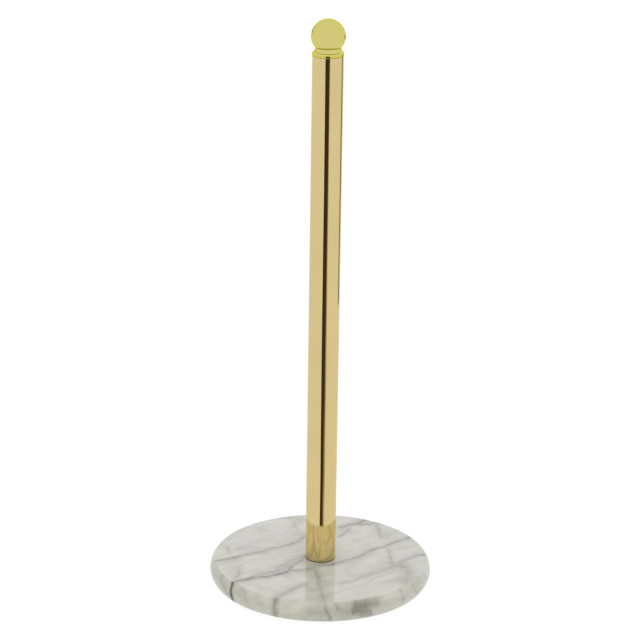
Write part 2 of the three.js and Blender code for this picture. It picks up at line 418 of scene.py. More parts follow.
def card_material(name, colours):
    """Paint that changes across the card, and a glow that fills it up to white."""
    material, tree, surface = bare_material(name)
    across = tree.nodes.new("ShaderNodeSeparateXYZ")
    tree.links.new(tree.nodes.new("ShaderNodeTexCoord").outputs["UV"], across.inputs[0])
    ramp = tree.nodes.new("ShaderNodeValToRGB")
    stops = ramp.color_ramp.elements
    while len(stops) < len(colours):
        stops.new(0.5)
    for stop, (position, colour) in zip(stops, colours):
        stop.position = position
        stop.color = colour
    tree.links.new(across.outputs["X"], ramp.inputs[0])
    paint = tree.nodes.new("ShaderNodeBsdfDiffuse")
    tree.links.new(ramp.outputs[0], paint.inputs["Color"])
    rest = vector_node(tree, "SUBTRACT", (1, 1, 1), ramp.outputs[0]).outputs["Vector"]
    glow = tree.nodes.new("ShaderNodeEmission")
    tree.links.new(rest, glow.inputs["Color"])
    tree.links.new(add_shaders(tree, paint.outputs[0], glow.outputs[0]), surface)
    return material


front_viewers = bpy.data.collections.new("front_gap_viewers")
back_viewers = bpy.data.collections.new("back_gap_viewers")
for card_name, card_rows, card_colours, viewers in (
        ("front_gap", front_gap_rows, front_gap_colours, front_viewers),
        ("back_gap", back_gap_rows, back_gap_colours, back_viewers)):
    gap = floor_card(card_name, card_rows)
    gap.data.materials.append(card_material(card_name, card_colours))
    gap.light_linking.receiver_collection = viewers
    print(card_name, len(gap.data.polygons), "faces")

# %% [markdown]
# The ball and the neck show small dark dots at their right and left edges, where they mirror
# the tent's open edges. Each edge is a clear film that dims what is behind it. A glow fills it
# up to white again for all pieces but the ball and the neck.

# %% Edges of the tent behind the ball
# name, bearing and span in degrees, lower and upper height, how the edge looks
edge_reach = 0.85
tent_edges = (
    ("right_edge", 150.0, 30.0, 0.12, 0.24, (0.30, 0.21, 0.05, 1)),
    ("left_edge", -145.0, 34.0, 0.32, 0.42, (0.55, 0.46, 0.38, 1)),
)


def film_material(name, colour):
    """A clear film that dims what is behind it, and a glow that fills it up to white again."""
    material, tree, surface = bare_material(name)
    film = add_node(tree, "ShaderNodeBsdfTransparent", {"Color": colour})
    glow = add_node(tree, "ShaderNodeEmission", {"Color": (*(1 - part for part in colour[:3]), 1)})
    tree.links.new(add_shaders(tree, film.outputs[0], glow.outputs[0]), surface)
    return material


edge_viewers = bpy.data.collections.new("tent_edge_viewers")
for edge_name, bearing, span, low, high, colour in tent_edges:
    turn = math.radians(bearing)
    bpy.ops.object.select_all(action="DESELECT")
    bpy.ops.mesh.primitive_plane_add(
        size=1, rotation=(math.pi / 2, 0, turn),
        location=(edge_reach * math.sin(turn), -edge_reach * math.cos(turn), (low + high) / 2))
    tent_edge = mirrors_only(bpy.context.object, edge_name)
    tent_edge.scale = (edge_reach * math.radians(span), high - low, 1)
    tent_edge.data.materials.append(film_material(edge_name, colour))
    tent_edge.light_linking.receiver_collection = edge_viewers
print("tent edges", len(tent_edges))

# %% [markdown]
# ## Modelling helpers
# Each piece starts as a primitive and is shaped in edit mode. Operators act on what is
# selected, so these helpers select faces or rims by their place. One of them finishes a piece.
# Smooth shading is weighted by face area, so that a long straight wall isn't bent by the small
# rim beside it, which a mirror finish would show at once.

# %% Helpers for modelling
here = 0.02 * MM
flat_from = 0.99
sharp_from = math.radians(40)


def start_piece(name):
    """Names the primitive just added, puts its place in its mesh and opens it for editing."""
    piece = bpy.context.object
    piece.name = name
    piece.data.name = name
    bpy.ops.object.transform_apply(location=True, rotation=True, scale=True)
    bpy.ops.object.mode_set(mode="EDIT")
    return piece


def pick_faces(test):
    """Selects the faces whose centre and normal pass the test."""
    bpy.ops.mesh.select_mode(type="FACE")
    bpy.ops.mesh.select_all(action="DESELECT")
    shape = bmesh.from_edit_mesh(bpy.context.object.data)
    for face in shape.faces:
        face.select_set(bool(test(face.calc_center_median(), face.normal)))
    shape.select_flush_mode()
    bmesh.update_edit_mesh(bpy.context.object.data)


def pick_edges(test):
    """Selects the edges whose two ends both pass the test."""
    bpy.ops.mesh.select_mode(type="EDGE")
    bpy.ops.mesh.select_all(action="DESELECT")
    shape = bmesh.from_edit_mesh(bpy.context.object.data)
    for edge in shape.edges:
        edge.select_set(all(test(end.co) for end in edge.verts))
    shape.select_flush_mode()
    bmesh.update_edit_mesh(bpy.context.object.data)


def pick_rim(height, radius):
    """Selects the ring of edges at one height and radius."""
    pick_edges(lambda spot: abs(spot.z - height) < here and abs(spot.xy.length - radius) < here)


def pick_cap(height, facing):
    """Selects the flat face that closes a round piece at one height."""
    pick_faces(lambda centre, normal: (
        abs(centre.z - height) < here and centre.xy.length < here and normal.z * facing > flat_from))


def round_rim(height, radius, edge, steps):
    """Rounds the rim at one height and radius."""
    pick_rim(height, radius)
    bpy.ops.mesh.bevel(offset=edge, segments=steps, profile=0.5, affect="EDGES")


def inset_to(height, facing, from_radius, to_radius):
    """Insets the cap at one height until its rim has the new radius."""
    pick_cap(height, facing)
    straight = math.cos(math.pi / round_sides)
    bpy.ops.mesh.inset(thickness=(from_radius - to_radius) * straight)


def push(distance):
    """Extrudes what is selected straight up, or down where the distance is negative."""
    bpy.ops.mesh.extrude_region_move(TRANSFORM_OT_translate={"value": (0, 0, distance)})


def sweep_rings(profile):
    """Extrudes the selected ring along (radius, height) points, of which the first is its own."""
    for (near_radius, near_height), (far_radius, far_height) in zip(profile, profile[1:]):
        bpy.ops.mesh.extrude_edges_move(TRANSFORM_OT_translate={"value": (0, 0, far_height - near_height)})
        growth = far_radius / near_radius
        bpy.ops.transform.resize(value=(growth, growth, 1), center_override=(0, 0, far_height))


def add_ring(name, radius, height, sides=round_sides):
    """Adds a bare ring of edges and opens it for editing, all of it selected."""
    bpy.ops.object.select_all(action="DESELECT")
    bpy.ops.mesh.primitive_circle_add(
        vertices=sides, radius=radius, fill_type="NOTHING", location=(0, 0, height))
    ring = start_piece(name)
    bpy.ops.mesh.select_all(action="SELECT")
    return ring


def close_up():
    """Joins doubled points and turns every face outwards."""
    bpy.ops.mesh.select_all(action="SELECT")
    bpy.ops.mesh.remove_doubles(threshold=here / 10)
    bpy.ops.mesh.normals_make_consistent(inside=False)


def cut_away(piece, cutter):
    """Takes the cutter's shape out of the piece and removes the cutter."""
    bpy.ops.object.select_all(action="DESELECT")
    bpy.context.view_layer.objects.active = piece
    cut = piece.modifiers.new("cut", "BOOLEAN")
    cut.operation = "DIFFERENCE"
    cut.solver = "EXACT"
    cut.object = cutter
    bpy.ops.object.modifier_apply(modifier=cut.name)
    bpy.data.objects.remove(cutter)


def bore_through(bottom, top, bottom_radius, top_radius, hole_radius):
    """Insets both caps to the hole, opens them and joins the two rims with a wall."""
    inset_to(bottom, -1, bottom_radius, hole_radius)
    bpy.ops.mesh.delete(type="FACE")
    inset_to(top, 1, top_radius, hole_radius)
    bpy.ops.mesh.delete(type="FACE")
    pick_edges(lambda spot: abs(spot.xy.length - hole_radius) < here)
    bpy.ops.mesh.bridge_edge_loops()


def finish_piece(piece, node, material):
    """Closes editing, smooths the shading, gives the material and ties the piece to the model."""
    bpy.ops.object.mode_set(mode="OBJECT")
    bpy.ops.object.shade_smooth_by_angle(angle=sharp_from)
    true_flats = piece.modifiers.new("true_flats", "WEIGHTED_NORMAL")
    true_flats.keep_sharp = True
    bpy.ops.object.modifier_apply(modifier=true_flats.name)
    piece.data.materials.clear()
    piece.data.materials.append(material)
    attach(piece, bodies_by_node[node])
    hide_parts(node)
    print(piece.name, len(piece.data.polygons), "faces")
    return piece


def add_disc(name, radius, bottom, top, sides=round_sides):
    """Adds a closed cylinder between two heights and opens it for editing."""
    bpy.ops.object.select_all(action="DESELECT")
    bpy.ops.mesh.primitive_cylinder_add(
        vertices=sides, radius=radius, depth=top - bottom, location=(0, 0, (bottom + top) / 2))
    return start_piece(name)


bodies_by_node = {
    node: body for body, members in frame["record"]["behaviour"]["bodies"].items() for node in members}
print("bodies:", sorted(set(bodies_by_node.values())))

# %% [markdown]
# ## Shared surface effects
# Plated and bare metal are never perfectly even. One group makes long faint hairlines, another
# makes the soft cloudy film that handling leaves. Both put out a mask, and each material
# decides how much roughness or colour that mask may move.

# %% Hairlines and handling film
def hairline_group():
    """Faint lines along Z, as polishing leaves them."""
    group, given, result = new_group(
        "hairlines",
        (("Vector", "NodeSocketVector"), ("Density", "NodeSocketFloat"), ("Stretch", "NodeSocketFloat")),
        (("Mask", "NodeSocketFloat"),))
    parts = add_node(group, "ShaderNodeSeparateXYZ")
    group.links.new(given["Vector"], parts.inputs[0])
    squeezed = math_node(group, "DIVIDE", parts.outputs["Z"], given["Stretch"])
    joined = add_node(group, "ShaderNodeCombineXYZ")
    group.links.new(parts.outputs["X"], joined.inputs["X"])
    group.links.new(parts.outputs["Y"], joined.inputs["Y"])
    group.links.new(squeezed, joined.inputs["Z"])
    grain = add_node(group, "ShaderNodeTexNoise", {"Detail": 3.0, "Roughness": 0.6})
    group.links.new(joined.outputs[0], grain.inputs["Vector"])
    group.links.new(given["Density"], grain.inputs["Scale"])
    group.links.new(spread(group, grain.outputs["Fac"], 0.52, 0.75), result["Mask"])
    return group


def film_group():
    """Soft clouds, as fingers and a cloth leave them on a polished surface."""
    group, given, result = new_group(
        "handling_film",
        (("Vector", "NodeSocketVector"), ("Size", "NodeSocketFloat")),
        (("Mask", "NodeSocketFloat"),))
    clouds = add_node(group, "ShaderNodeTexNoise", {"Detail": 4.0, "Roughness": 0.55, "Distortion": 0.4})
    group.links.new(given["Vector"], clouds.inputs["Vector"])
    group.links.new(given["Size"], clouds.inputs["Scale"])
    soft = spread(group, clouds.outputs["Fac"], 0.35, 0.7, interpolation_type="SMOOTHSTEP")
    group.links.new(soft, result["Mask"])
    return group


hairlines = hairline_group()
handling_film = film_group()
print("groups:", hairlines.name, handling_film.name)


# %% [markdown]
# ## Metal finishes
# The pole and the finial are plated separately, and the finial's plate is the greener yellow.
# Both are mirror bright, so their colour is almost all reflection. The finial's rim turns a
# deeper yellow where it is seen at a slant, which the shader's own tint for slanting light gives.
# A tint can also be laid over part of a plate: a painted reflection makes the lower half of the flange's
# edge a deeper yellow. The pole's mirror image in the marble is dimmer than the pole, so the pole
# carries a tint that counts only where a mirror has been passed.

# %% Plated and bare metal
film_size = 38.0
line_density = 900.0
line_stretch = 60.0
line_bump = {"Strength": 0.02, "Distance": 0.01 * MM}


def metal_material(name, colour, worn_colour, roughness, film_roughness, rim_tint):
    """A plated metal: film and hairlines move its colour and roughness a little."""
    material, tree, shader, coordinates = new_material(name)
    film = use_group(tree, handling_film, Vector=coordinates, Size=film_size)["Mask"]
    lines = use_group(
        tree, hairlines, Vector=coordinates, Density=line_density, Stretch=line_stretch)["Mask"]
    tree.links.new(blend_colour(tree, film, colour, worn_colour), shader.inputs["Base Color"])
    wear = math_node(tree, "MULTIPLY", film, film_roughness)
    wear = math_node(tree, "ADD", wear, math_node(tree, "MULTIPLY", lines, film_roughness * 0.5))
    tree.links.new(math_node(tree, "ADD", wear, roughness), shader.inputs["Roughness"])
    bump = add_node(tree, "ShaderNodeBump", line_bump)
    tree.links.new(lines, bump.inputs["Height"])
    tree.links.new(bump.outputs["Normal"], shader.inputs["Normal"])
    shader.inputs["Metallic"].default_value = 1.0
    shader.inputs["Specular Tint"].default_value = rim_tint
    return material


def tint_plate(material, share, tint):
    """Multiplies the plate's colour by a tint, as far as the share says."""
    tree = material.node_tree
    colour_input = tree.nodes["Principled BSDF"].inputs["Base Color"]
    plate = colour_input.links[0].from_socket
    tree.links.new(blend_colour(tree, share, plate, tint, "MULTIPLY"), colour_input)


def tint_band(material, low_ramp, high_ramp, tint):
    """Tints the plate between two heights. A ramp is where it starts and where it is full."""
    tree = material.node_tree
    parts = add_node(tree, "ShaderNodeSeparateXYZ")
    tree.links.new(tree.nodes["Texture Coordinate"].outputs["Object"], parts.inputs[0])
    rise, fall = (spread(tree, parts.outputs["Z"], *ramp) for ramp in (low_ramp, high_ramp))
    tint_plate(material, math_node(tree, "MULTIPLY", rise, fall), tint)


pole_gold = metal_material(
    "pole_gold_plate", (0.682, 0.548, 0.264, 1), (0.660, 0.528, 0.250, 1),
    0.045, 0.03, (0.93, 0.88, 0.78, 1))
finial_gold = metal_material(
    "finial_gold_plate", (0.650, 0.590, 0.198, 1), (0.635, 0.570, 0.185, 1),
    0.06, 0.03, (0.91, 0.89, 0.36, 1))
zinc_steel = metal_material(
    "zinc_plated_steel", (0.62, 0.63, 0.64, 1), (0.50, 0.50, 0.49, 1), 0.28, 0.12, (1, 1, 1, 1))
flange_gold = finial_gold.copy()
flange_gold.name = "flange_gold_plate"
tint_plate(pole_gold, seen_in_mirror(pole_gold.node_tree), (0.42, 0.46, 0.10, 1))
# Painted reflection: the lower half of the flange's edge is tinted a deeper yellow, where it mirrors the
# gap.
tint_band(
    flange_gold, (flange_bottom - 1 * MM, flange_bottom),
    (flange_bottom + 1.7 * MM, flange_bottom + 0.9 * MM), (0.95, 0.93, 0.40, 1))
print("metals:", pole_gold.name, finial_gold.name, zinc_steel.name)

# %% [markdown]
# ## Rubber
# The pads are plain black rubber and the gasket a dark brown one, both with a fine moulded
# grain. The grain is a small bump, and the colour lightens a little where dust would sit.

# %% Moulded rubber
grain_scale = 2500.0
grain_bump = {"Strength": 0.4, "Distance": 0.05 * MM}
dust_size = 160.0
rubber_roughness = 0.75


def rubber_material(name, colour, dusty):
    """Matt rubber with a fine grain."""
    material, tree, shader, coordinates = new_material(name)
    grain = add_node(tree, "ShaderNodeTexNoise", {"Scale": grain_scale, "Detail": 2.0})
    tree.links.new(coordinates, grain.inputs["Vector"])
    film = use_group(tree, handling_film, Vector=coordinates, Size=dust_size)["Mask"]
    tree.links.new(blend_colour(tree, film, colour, dusty), shader.inputs["Base Color"])
    bump = add_node(tree, "ShaderNodeBump", grain_bump)
    tree.links.new(grain.outputs["Fac"], bump.inputs["Height"])
    tree.links.new(bump.outputs["Normal"], shader.inputs["Normal"])
    shader.inputs["Roughness"].default_value = rubber_roughness
    return material


gasket_rubber = rubber_material("gasket_rubber", (0.085, 0.064, 0.014, 1), (0.115, 0.088, 0.026, 1))
pad_rubber = rubber_material("pad_rubber", (0.045, 0.045, 0.045, 1), (0.085, 0.083, 0.08, 1))
print("rubbers:", gasket_rubber.name, pad_rubber.name)

# %% [markdown]
# ## Marble
# The stone is white with grey veins, thin sheets that cut right through the disc. They could be
# one solid pattern, but this stone's veins have to lie where the real ones do, so the top and
# the side are drawn apart. A vein is a chain of straight runs, on the top in millimetres from
# the pole, on the side in millimetres along the unrolled rim and down from the top. A noise
# frays the runs as the stone's crystals do. One group turns a run into a mask: a dark core and
# a wide faint halo.

# %% Group for one run of a vein
halo_share = 0.55
halo_fall = 1.3


def vein_group():
    """How strongly a point lies in one run of a vein, from 0 to 1."""
    group, given, result = new_group(
        "vein_run",
        (("Place", "NodeSocketVector"), ("Fray", "NodeSocketFloat"),
         ("From", "NodeSocketVector"), ("To", "NodeSocketVector"),
         ("Width", "NodeSocketFloat"), ("Halo", "NodeSocketFloat"), ("Strength", "NodeSocketFloat")),
        (("Mask", "NodeSocketFloat"),))
    run = vector_node(group, "SUBTRACT", given["To"], given["From"]).outputs["Vector"]
    reach = vector_node(group, "SUBTRACT", given["Place"], given["From"]).outputs["Vector"]
    along = vector_node(group, "DOT_PRODUCT", reach, run).outputs["Value"]
    length = vector_node(group, "DOT_PRODUCT", run, run).outputs["Value"]
    share = math_node(group, "MINIMUM", math_node(group, "DIVIDE", along, length), 1.0)
    share = math_node(group, "MAXIMUM", share, 0.0)
    nearest = vector_node(group, "SCALE", run, scale=share).outputs["Vector"]
    away = vector_node(group, "DISTANCE", reach, nearest).outputs["Value"]
    away = math_node(group, "ADD", away, given["Fray"])
    core = spread(
        group, away, 0.0, given["Width"], 1.0, 0.0, interpolation_type="SMOOTHSTEP", clamp=False)
    halo = math_node(group, "SUBTRACT", 1.0, math_node(group, "DIVIDE", away, given["Halo"]))
    soft = math_node(group, "POWER", math_node(group, "MAXIMUM", halo, 0.0), halo_fall)
    soft = math_node(group, "MULTIPLY", soft, halo_share)
    both = math_node(group, "MAXIMUM", core, soft)
    group.links.new(math_node(group, "MULTIPLY", both, given["Strength"]), result["Mask"])
    return group


vein_run = vein_group()
print("group:", vein_run.name)

# %% [markdown]
# The runs below follow the veins that the photograph shows, from the left rim to the right.
# The two runs just in front of the pole's foot are no veins but a painted shadow and reflection.
# After each chain come half the core's width, the reach of its halo and its strength, which
# turns the core black above one. Most are grey. A few on the front of the side are rusty, as
# iron in the stone makes them. A wide halo with hardly any core makes a cloudy patch.

# %% Veins of this stone
top_veins = {
    "left_long": (
        ((-69, -9.3), (-62, -7.8), (-56, -4.7), (-52, -2.1), (-47, 1.6), (-41.5, 4.7), (-36, 7.2),
         (-31, 11.9), (-26, 14.5), (-19.5, 19.1), (-15.5, 22.9), (-12.5, 26.9), (-10, 31.5),
         (0, 39.5)), 2.7, 6.0, 0.54),
    "left_long_dark": (((-58, -5.6), (-52, -2.1), (-46, 1.8)), 3.6, 6.0, 0.66),
    "left_long_spot": (((-31, 12.4), (-26, 14.5)), 1.7, 3.0, 0.65),
    "left_long_end": (((-12.5, 27.4), (-10.5, 31)), 3.0, 5.0, 0.56),
    "main": (
        ((-55, -41.5), (-52, -39), (-46.5, -36), (-42, -33.5), (-39, -32), (-34, -32), (-30, -30),
         (-27, -27.7), (-23, -25.9), (-21, -23.8)), 3.1, 6.0, 0.84),
    "main_corner": (((-55, -41.5), (-51, -38.5)), 3.1, 4.5, 0.93),
    "main_blur": (((-48, -36.5), (-40, -32.5)), 3.9, 5.5, 0.74),
    "main_rise": (
        ((-21, -23.8), (-19.7, -20.7), (-18.5, -17.1), (-16.5, -13.5), (-14, -9.3), (-11, -4.7),
         (-8, -1)), 2.2, 5.5, 0.58),
    "main_rise_spot": (((-19.6, -21), (-18.8, -18), (-17, -14.2)), 2.2, 4.5, 0.84),
    "main_fork": (((-19.5, -21.7), (-15.5, -21.5)), 3.6, 7.0, 0.50),
    "main_upper": (
        ((-43, -32), (-36, -27.4), (-33, -25.4), (-28, -21.2), (-22, -19.1), (-19, -17.6)), 2.0, 5.5, 0.56),
    "upper_band": (((-27, -17.6), (-20, -9.3), (-13, -2.1), (-7, 4.1)), 2.3, 7.0, 0.47),
    "right_long": (
        ((6, -11.9), (12, -8.3), (17, -4.7), (22, -1), (26, 2.6), (30, 7.8), (33, 11.9),
         (36, 14.5), (41, 16.6), (43.5, 19.1), (46, 22.3), (50, 25.9), (54, 29),
         (60, 34.5)), 2.7, 6.0, 0.58),
    "right_long_near": (((10, -9.4), (19, -3.3)), 2.6, 4.5, 0.73),
    "right_long_middle": (((31, 9.3), (33, 11.9), (36, 14.3)), 2.2, 4.0, 0.67),
    "right_long_spot": (((41, 16.8), (44, 19.5)), 2.2, 4.0, 0.78),
    "right_long_rim": (((48, 24.3), (54, 29), (58, 32.5)), 2.2, 4.0, 0.74),
    "right_faint": (
        ((13, -39.5), (20, -36), (25, -30.5), (30, -27.4), (33, -23.8), (37, -20.7), (41, -17.6),
         (45, -14.5), (47, -11.4)), 4.6, 7.5, 0.34),
    "right_faint_spot": (((31, -25.4), (37, -20.7)), 4.4, 6.0, 0.34),
    "right_faint_rim": (
        ((47, -11.4), (50, -6.7), (54, -3.1), (58, 1), (62, 4.1), (67, 6.2)), 3.8, 6.5, 0.42),
    "right_rim_spot": (((62, 4.7), (68, 5.7)), 3.4, 6.0, 0.56),
    "back_broad": (
        ((13, 46.5), (17, 49.5), (20, 51.5), (23, 53.5), (26, 56), (28, 58.5), (31, 62)), 3.6, 6.5, 0.64),
    "back_broad_near": (((19.5, 52), (25, 52.2)), 2.4, 4.5, 0.80),
    "back_broad_far": (((26, 55.5), (30, 59.5)), 3.2, 4.5, 0.70),
    "back_rim": (((24, 52.5), (30, 52.5), (34, 54), (40, 55)), 2.1, 4.5, 0.70),
    "back_short": (
        ((12, 31), (13.5, 33.5), (15.5, 37.5), (17, 40.5), (18.5, 43.5), (19.5, 48.5)), 1.7, 4.0, 0.58),
    "back_short_end": (((12.8, 32.5), (14.5, 35)), 1.7, 3.0, 0.84),
    "cross_back_right": (((36.5, 51.5), (37.5, 44.5), (38.5, 38.5), (39.5, 32)), 2.8, 6.0, 0.40),
    "cross_right": (
        ((44, 12.4), (44, 6.2), (44.5, 2.1), (45, -3.1), (46, -7.2), (46.5, -12.4)), 1.7, 4.0, 0.42),
    "cross_right_foot": (((45.5, -7), (47, -12.5)), 4.6, 6.5, 0.52),
    "cross_back_left": (((-20.5, 63), (-18, 54), (-16, 45.5), (-14, 37.5), (-12, 31)), 2.8, 6.5, 0.28),
    "cross_left": (((-51, -18.6), (-51, -25.9), (-51.5, -31), (-53, -38.5)), 2.2, 5.5, 0.42),
    "far_left": (((-60, 12.4), (-59, 7.2), (-58, 3.1)), 1.8, 4.5, 0.34),
    "under_pole": (
        ((-3.5, -12.4), (-3, -17.6), (-1.5, -24.8), (-0.5, -31), (-1, -38.5), (0.5, -45.5),
         (1, -54), (2.5, -64)), 3.6, 6.5, 0.36),
    "under_pole_spot": (((-3.4, -21), (-2.2, -26), (-0.6, -33)), 3.2, 5.5, 0.52),
    # Painted shadow and reflection, not veins: the dark zone on the top just in front of the pole's foot.
    "pole_foot_painted_shade": (((10, -10.9), (5, -12.4), (-1, -13.4)), 2.2, 5.0, 0.72),
    "pole_foot_painted_shade_wide": (((-2, -16), (-9, -20), (-15, -21.5)), 5.0, 7.0, 0.46),
    "front_broad": (((-10, -42.5), (-15, -47.5), (-19, -53), (-23, -57.5), (-27, -63)), 4.4, 7.0, 0.45),
    "patch_between": (((-38, -29), (-26, -20.7), (-14, -9.3)), 0.1, 8.0, 0.85),
    "patch_right": (((50, -9.3), (55, -16), (55, -24), (54, -36)), 0.1, 9.5, 0.80),
    "patch_left": (((-52, 9.3), (-44, 13.5), (-40, 10.3)), 0.1, 7.0, 0.42),
    "patch_back_left": (((-24, 62), (-15, 60)), 0.1, 6.0, 0.48),
    "patch_back_right": (((25, 54), (31, 55)), 0.1, 5.0, 0.65),
    "patch_far_right": (((42, 38.5), (44, 29), (41, 22.8)), 0.1, 6.0, 0.32),
}
side_veins = {
    "main_side": (
        ((-61.8, 0), (-61.4, 2), (-61, 4), (-60.5, 6), (-60.2, 8.5), (-60.5, 13)), 2.6, 3.8, 1.75),
    "left_smear": (((-76, 1.5), (-72, 3), (-68, 5.5), (-65, 8)), 5.0, 8.0, 0.46),
    "left_shade": (((-90, 3), (-66, 3)), 0.1, 9.0, 0.46),
    "front_shade": (((-4, 6), (16, 6)), 0.1, 9.0, 0.60),
    "right_shade": (((58, 4), (80, 4)), 0.1, 9.0, 0.26),
    "stripe_near_top": (((2.8, 0.6), (3.4, 3)), 2.0, 4.0, 0.46),
    "stripe_near": (((3.4, 3), (4.8, 5.5), (6, 9), (6.8, 13)), 3.2, 4.0, 0.72),
    "stripe_right": (((9.6, 0.8), (11, 3.4)), 2.6, 4.5, 0.55),
    "stripe_right_wide": (((11.5, 4), (13.5, 8)), 3.2, 6.0, 0.32),
    "stripe_right_low": (((14, 8.5), (15, 11)), 2.2, 4.5, 0.38),
    "blot_top": (((22.5, 2.8), (28, 3)), 5.2, 5.5, 0.84),
    "blot_left": (((19.8, 4), (20.3, 7)), 2.4, 3.5, 0.72),
    "faint_right": (((54.8, 0.5), (55.3, 4), (55.8, 7)), 2.0, 4.0, 0.44),
    "faint_far": (((66.5, 0.8), (68, 5), (69.5, 8)), 2.0, 4.5, 0.38),
    "left_long_side": (((-96, 0), (-97, 6), (-99, 13)), 1.8, 5.0, 0.50),
    "right_rim_side": (((111, 0), (113, 6), (117, 13)), 2.2, 5.0, 0.50),
    "right_long_side": (((140, 0), (141, 7), (144, 13)), 1.8, 4.5, 0.70),
    "back_rim_side": (((169, 0), (170, 13)), 1.6, 4.5, 0.55),
    "back_broad_side": (((179, 0), (181, 6), (184, 13)), 2.2, 5.0, 0.75),
    "back_left_side": (((-189, 0), (-187, 13)), 1.6, 5.0, 0.35),
}
side_rust = {
    "front_broad_side": (((-27.2, 0), (-27.3, 5), (-27, 13)), 2.2, 3.8, 0.78),
    "front_broad_edge": (((-25.6, 0.4), (-25.6, 13)), 2.2, 3.0, 0.46),
    "left_streak": (((-53, 0.8), (-50.5, 2), (-48, 4), (-47, 6)), 3.4, 6.0, 0.40),
    "left_patch": (((-57, 4.5), (-50, 4.5)), 4.0, 8.0, 0.30),
    "blot_middle": (((22, 6), (28.5, 7.4)), 5.0, 6.5, 0.84),
    "blot_low": (((25.5, 9), (30, 10.2)), 3.6, 6.0, 0.66),
    "blot_edge": (((31.5, 3), (35.5, 3.3)), 5.0, 7.5, 0.66),
    "blot_corner": (((31.2, 7), (31.2, 10)), 2.6, 5.0, 0.80),
}
veins = [*top_veins.values(), *side_veins.values(), *side_rust.values()]
print("veins:", len(veins), "runs:", sum(len(vein[0]) - 1 for vein in veins))

# %% [markdown]
# Between its veins the stone is never one white: long soft bands of grey run through it, and
# patches lean to warm or cool. Two wide noises do that. The side is a little warmer than the
# top, its veins turn olive, and it is less finely polished, so it mirrors less sharply. The
# pole's foot mirrors the stone brighter than it looks from above, so the stone is lifted where
# a mirror has been passed.

# %% Marble material
fray_reach = 1.3
fray_scale = 0.30
warp_reach = 1.3
warp_scale = 0.22
break_scale = 0.16
tint_scale = 0.07
band_scale = 0.13
band_turn = math.radians(38)
band_stretch = 0.45
rim_start = base_radius / MM - 3.2
rim_end = base_radius / MM - 2.7
marble_white = (0.655, 0.653, 0.620, 1)
marble_shade = (0.520, 0.520, 0.480, 1)
warm_tint = (1.0, 1.0, 0.955, 1)
cool_tint = (1.0, 0.985, 1.0, 1)
side_warmth = (0.985, 0.98, 0.915, 1)
vein_grey = (0.168, 0.166, 0.150, 1)
vein_olive = (0.172, 0.168, 0.132, 1)
vein_black = (0.032, 0.031, 0.022, 1)
vein_rust = (0.240, 0.200, 0.165, 1)
mirrored_lift = (1.388, 1.319, 1.106, 1)
lift_start, lift_end, lift_near_pole = 15, 40, 0.4


def noise_at(tree, place, scale, **values):
    """A noise texture at a place. Returns its outputs."""
    noise = add_node(tree, "ShaderNodeTexNoise", {"Scale": scale, **values})
    tree.links.new(place, noise.inputs["Vector"])
    return noise.outputs


def vein_mask(tree, chains, place, fray):
    """The strongest of all runs of the given chains."""
    total = None
    for points, width, halo, strength in chains.values():
        for near, far in zip(points, points[1:]):
            mask = use_group(
                tree, vein_run, Place=place, Fray=fray, From=(*near, 0), To=(*far, 0),
                Width=width, Halo=halo, Strength=strength)["Mask"]
            total = mask if total is None else math_node(tree, "MAXIMUM", total, mask)
    return total


def marble_places(tree, coordinates):
    """Where a point lies: in millimetres, on the top, on the unrolled side, and how far out it is."""
    place = vector_node(tree, "MULTIPLY", coordinates, (1 / MM,) * 3).outputs["Vector"]
    parts = add_node(tree, "ShaderNodeSeparateXYZ")
    tree.links.new(place, parts.inputs[0])
    warp = noise_at(tree, place, warp_scale, Detail=4.0, Roughness=0.6)["Color"]
    shift = vector_node(tree, "SUBTRACT", warp, (0.5, 0.5, 0.5)).outputs["Vector"]
    shift = vector_node(tree, "SCALE", shift, scale=2 * warp_reach).outputs["Vector"]
    moved = vector_node(tree, "ADD", place, shift).outputs["Vector"]
    top_place = vector_node(tree, "MULTIPLY", moved, (1, 1, 0)).outputs["Vector"]

    towards_front = math_node(tree, "MULTIPLY", parts.outputs["Y"], -1.0)
    turn = math_node(tree, "ARCTAN2", parts.outputs["X"], towards_front)
    unrolled = add_node(tree, "ShaderNodeCombineXYZ")
    tree.links.new(math_node(tree, "MULTIPLY", turn, rim_start), unrolled.inputs["X"])
    depth = math_node(tree, "SUBTRACT", base_top / MM, parts.outputs["Z"])
    tree.links.new(depth, unrolled.inputs["Y"])
    side_place = vector_node(tree, "ADD", unrolled.outputs[0], shift).outputs["Vector"]
    side_place = vector_node(tree, "MULTIPLY", side_place, (1, 1, 0)).outputs["Vector"]

    outward = vector_node(tree, "MULTIPLY", place, (1, 1, 0)).outputs["Vector"]
    outward = vector_node(tree, "LENGTH", outward).outputs["Value"]
    return place, top_place, side_place, outward


